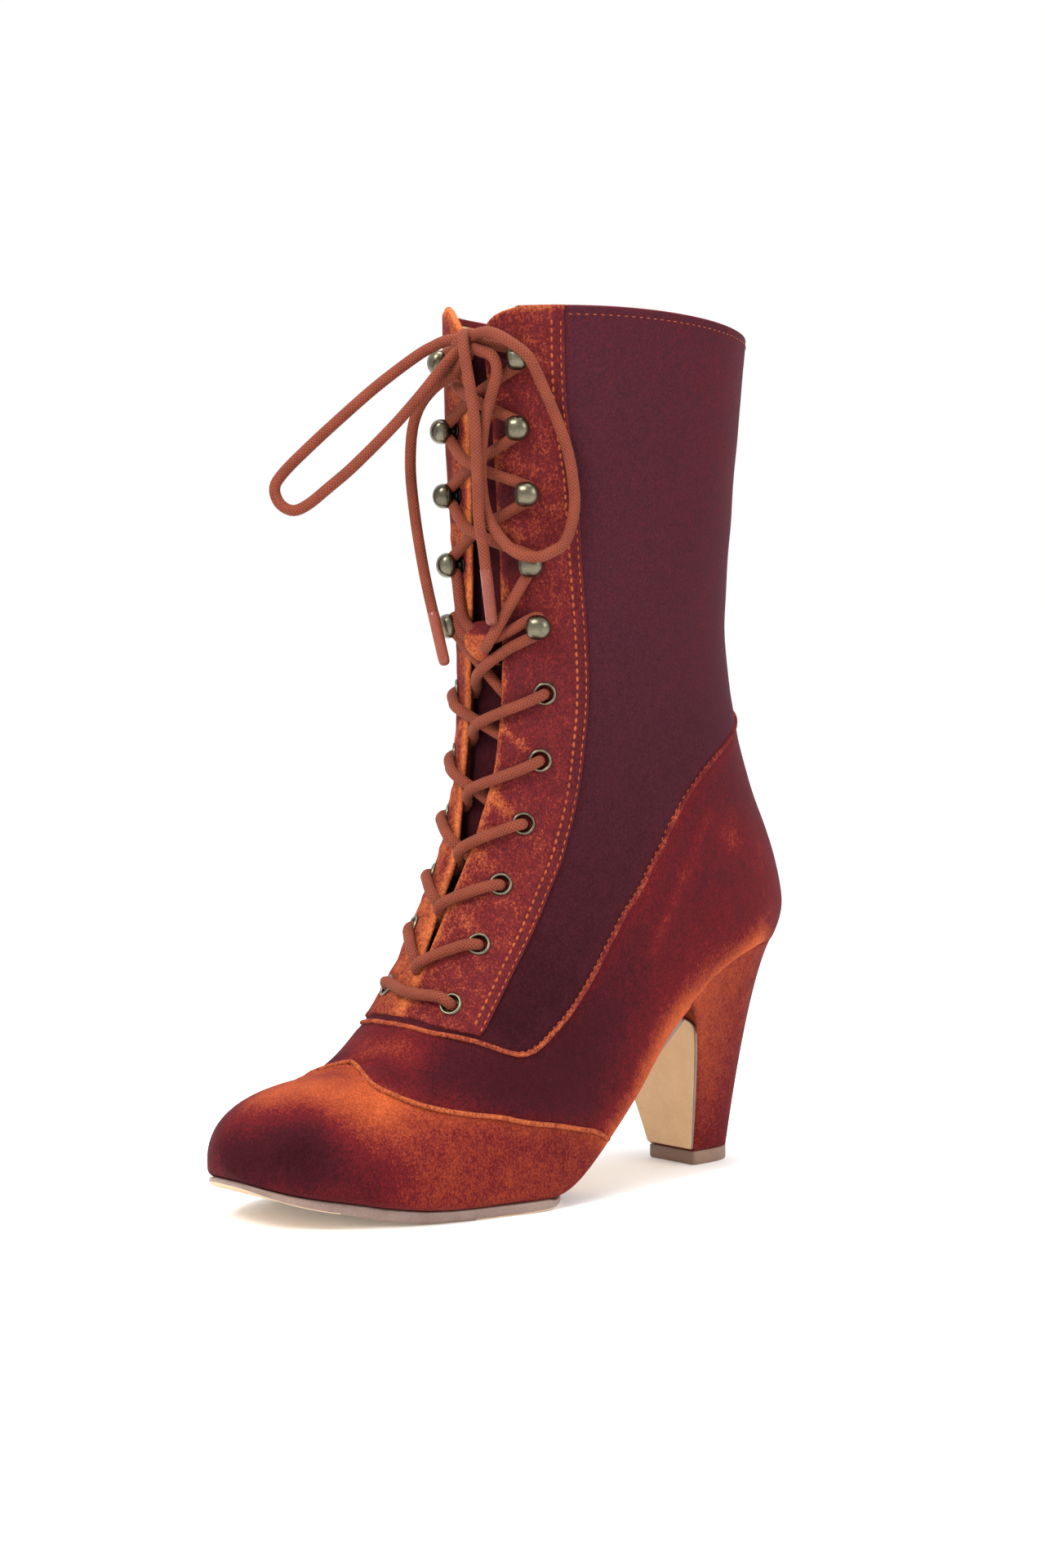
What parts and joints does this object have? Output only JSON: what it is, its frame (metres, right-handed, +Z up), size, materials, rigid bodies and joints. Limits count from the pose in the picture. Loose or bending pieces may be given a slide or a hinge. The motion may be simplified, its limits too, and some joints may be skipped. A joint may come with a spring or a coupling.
{
  "type": "lace-up heeled boot",
  "caption": "Calf-high velvet boot for the left foot with a covered heel, piped seams, a front laced through eyelets and round ball hooks, and a tied bow.",
  "frame": {"origin": "middle of the standing boot's box, on the floor, measured without the bow", "axes": "+Z up along the shaft, the toe points to -Y, and the outer side of the foot is +X"},
  "size_m": [0.0968, 0.2442, 0.3022],
  "materials": {
    "wine_velvet": "short velvet pile",
    "rust_velvet": "crushed velvet pile",
    "piping_velvet": "velvet over cord",
    "sole_leather": "smooth",
    "top_piece_rubber": "satin",
    "insole_lining": "smooth lining",
    "antique_brass": "antique, burnished",
    "rust_lace": "woven round cord",
    "aglet_plastic": "clear sleeve"
  },
  "bodies": {
    "root": {"upper": "wine_velvet", "heel": "wine_velvet", "tongue": "wine_velvet", "facing": "rust_velvet", "tongue_loop": "rust_velvet", "quarter_piping": "piping_velvet", "toe_piping": "piping_velvet", "outsole": "sole_leather", "heel_breast": "sole_leather", "heel_top_piece": "top_piece_rubber", "insole": "insole_lining", "eyelet_lateral_1": "antique_brass", "eyelet_medial_1": "antique_brass", "eyelet_lateral_2": "antique_brass", "eyelet_medial_2": "antique_brass", "eyelet_lateral_3": "antique_brass", "eyelet_medial_3": "antique_brass", "eyelet_lateral_4": "antique_brass", "eyelet_medial_4": "antique_brass", "eyelet_lateral_5": "antique_brass", "eyelet_medial_5": "antique_brass", "eyelet_lateral_6": "antique_brass", "eyelet_medial_6": "antique_brass", "hook_lateral_1": "antique_brass", "hook_medial_1": "antique_brass", "hook_lateral_2": "antique_brass", "hook_medial_2": "antique_brass", "hook_lateral_3": "antique_brass", "hook_medial_3": "antique_brass", "hook_lateral_4": "antique_brass", "hook_medial_4": "antique_brass", "hook_lateral_5": "antique_brass", "hook_medial_5": "antique_brass", "lace_bar_1": "rust_lace", "lace_row_2": "rust_lace", "lace_row_3": "rust_lace", "lace_row_4": "rust_lace", "lace_row_5": "rust_lace", "lace_row_6": "rust_lace", "lace_row_7": "rust_lace", "lace_cross_7": "rust_lace", "lace_cross_8": "rust_lace", "lace_cross_9": "rust_lace", "lace_cross_10": "rust_lace", "lace_top_lateral": "rust_lace", "lace_top_medial": "rust_lace", "knot": "rust_lace", "lace_loop_inner": "rust_lace", "lace_loop_outer": "rust_lace", "lace_end_front": "rust_lace", "lace_end_inner": "rust_lace", "aglet_front": "aglet_plastic", "aglet_inner": "aglet_plastic"}
  },
  "joints": []
}
